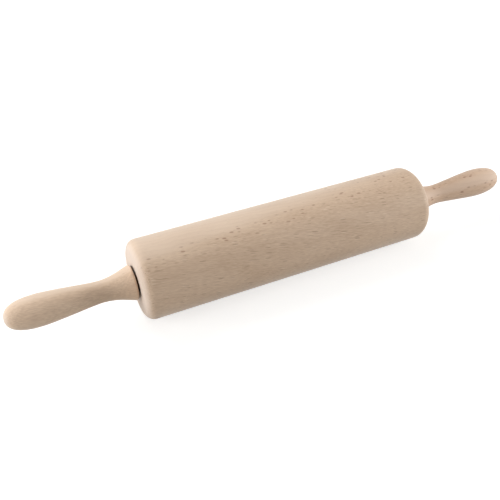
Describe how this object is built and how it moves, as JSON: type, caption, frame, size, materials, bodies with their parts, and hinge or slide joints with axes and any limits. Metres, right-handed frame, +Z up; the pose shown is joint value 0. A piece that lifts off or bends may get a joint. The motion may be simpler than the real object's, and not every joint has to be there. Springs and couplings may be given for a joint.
{
  "type": "rolling pin",
  "caption": "Rolling pin: a beech roller with rounded end edges that spins on ball bearings between two turned handles with flared ends, waists and swollen grips.",
  "frame": {"origin": "under the middle of the roller, on the surface that the roller rests on", "axes": "+X along the pin towards the right handle, +Z up, +Y across the pin"},
  "size_m": [0.4422, 0.063, 0.063],
  "materials": {
    "roller_beech": "sanded, unfinished beech",
    "handle_beech": "sanded, unfinished beech",
    "rod_steel": "bright drawn steel",
    "bearing_steel": "ground bearing steel",
    "ball_steel": "lapped",
    "cage_nylon": "moulded nylon",
    "seal_rubber": "moulded nitrile rubber",
    "spacer_acetal": "turned black acetal",
    "clip_steel": "phosphated spring steel",
    "insert_brass": "turned"
  },
  "bodies": {
    "roller": {"roller": "roller_beech", "outer_race_left": "bearing_steel", "outer_race_right": "bearing_steel", "outboard_seal_left": "seal_rubber", "outboard_seal_right": "seal_rubber", "inboard_seal_left": "seal_rubber", "inboard_seal_right": "seal_rubber"},
    "axle": {"axle_rod": "rod_steel", "handle_left": "handle_beech", "handle_right": "handle_beech", "inner_race_left": "bearing_steel", "inner_race_right": "bearing_steel", "spacer_left": "spacer_acetal", "spacer_right": "spacer_acetal", "retaining_clip_left": "clip_steel", "retaining_clip_right": "clip_steel", "threaded_insert_left": "insert_brass", "threaded_insert_right": "insert_brass"},
    "cage_set_left": {"cage_left": "cage_nylon", "balls_left": "ball_steel"},
    "cage_set_right": {"cage_right": "cage_nylon", "balls_right": "ball_steel"}
  },
  "joints": [
    {"name": "axle_spin", "type": "hinge", "parent": "roller", "child": "axle", "pos_m": [0, 0, 0.0315], "axis": [1, 0, 0], "continuous": true},
    {"name": "cage_spin_left", "type": "hinge", "parent": "roller", "child": "cage_set_left", "pos_m": [-0.1199, 0, 0.0315], "axis": [1, 0, 0], "continuous": true},
    {"name": "cage_spin_right", "type": "hinge", "parent": "roller", "child": "cage_set_right", "pos_m": [0.1199, 0, 0.0315], "axis": [1, 0, 0], "continuous": true}
  ],
  "couplings": [
    {"joint": "cage_spin_left", "follows": "axle_spin", "ratio": 0.36767},
    {"joint": "cage_spin_right", "follows": "axle_spin", "ratio": 0.36767}
  ]
}
